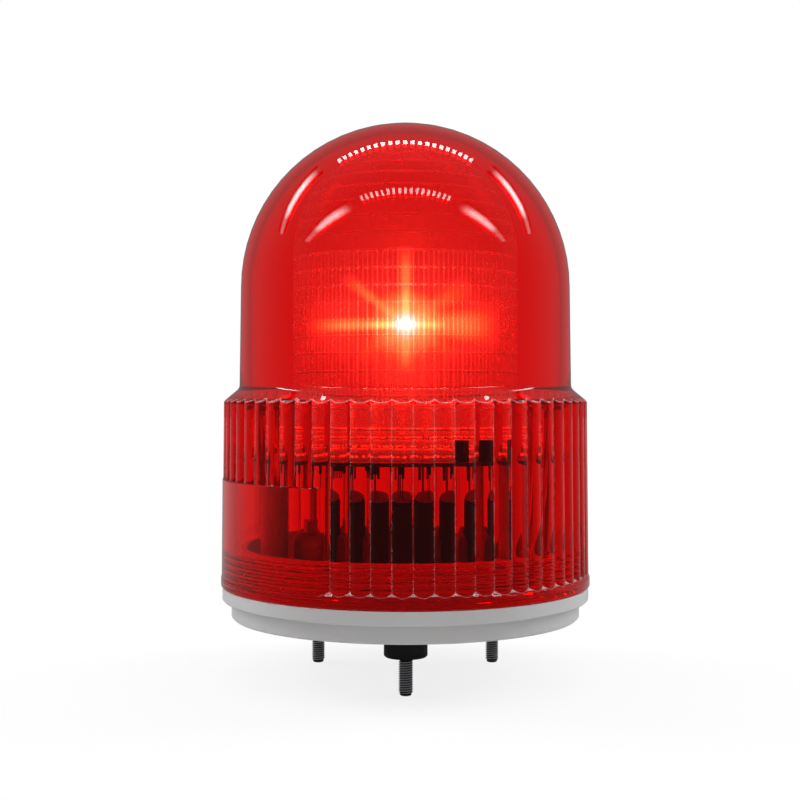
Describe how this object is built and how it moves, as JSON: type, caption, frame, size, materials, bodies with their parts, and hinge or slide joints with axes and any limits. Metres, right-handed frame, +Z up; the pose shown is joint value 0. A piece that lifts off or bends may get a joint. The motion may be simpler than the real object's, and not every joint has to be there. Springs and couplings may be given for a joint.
{
  "type": "sounder beacon",
  "caption": "Round signal beacon with a red reeded dome globe that screws onto a grey base, a sounder and an LED lamp inside, fixed by threaded bolts under the base.",
  "frame": {"origin": "centre of the bolt circle on the fixing face, where the rubber bushes meet the panel", "axes": "+Z up along the beacon's axis, -Y towards the front bolt, +X to the right seen from the front"},
  "size_m": [0.1668, 0.1668, 0.2492],
  "materials": {
    "red_polycarbonate": "gloss",
    "clear_acrylic": "gloss",
    "grey_plastic": "satin",
    "dark_grey_plastic": "satin",
    "black_plastic": "satin",
    "black_rubber": "matte",
    "black_steel": "satin",
    "zinc_steel": "satin",
    "brass": "satin",
    "aluminium": "satin",
    "circuit_board": "satin",
    "white_board": "satin",
    "capacitor_sleeve": "gloss",
    "lead_insulation": "satin",
    "led_phosphor": "gloss"
  },
  "bodies": {
    "housing": {"base": "grey_plastic", "mounting_bolts": "black_steel", "bolt_washers": "zinc_steel", "rubber_bushes": "black_rubber", "cable_grommet": "black_rubber", "sounder_case": "black_plastic", "sounder_diaphragm": "brass", "sounder_ring": "black_plastic", "sounder_cradle": "dark_grey_plastic", "cradle_screws": "zinc_steel", "sounder_leads": "lead_insulation", "terminal_block": "black_plastic", "supply_leads": "lead_insulation", "board_pillars": "dark_grey_plastic", "pillar_screws": "zinc_steel", "main_board": "circuit_board", "board_screws": "zinc_steel", "lead_sockets": "black_plastic", "pin_header": "black_plastic", "power_block": "black_plastic", "capacitors": "capacitor_sleeve", "inner_lens": "clear_acrylic", "lens_screws": "zinc_steel", "led_core": "aluminium", "core_screws": "zinc_steel", "led_board_1": "white_board", "led_board_2": "white_board", "led_board_3": "white_board", "led_board_4": "white_board", "led_board_5": "white_board", "led_board_6": "white_board", "led_chips": "led_phosphor"},
    "seal": {"seal_ring": "black_rubber"},
    "cover": {"globe": "red_polycarbonate"}
  },
  "joints": [
    {"name": "globe_turn", "type": "hinge", "parent": "housing", "child": "seal", "pos_m": [0, 0, 0.0246], "axis": [0, 0, 1], "range_deg": [0, 1440]},
    {"name": "globe_lift", "type": "slide", "parent": "seal", "child": "cover", "axis": [0, 0, 1], "range_m": [0, 0.0122]}
  ],
  "couplings": [
    {"joint": "globe_lift", "follows": "globe_turn", "m_per_rad": 0.00047746}
  ]
}
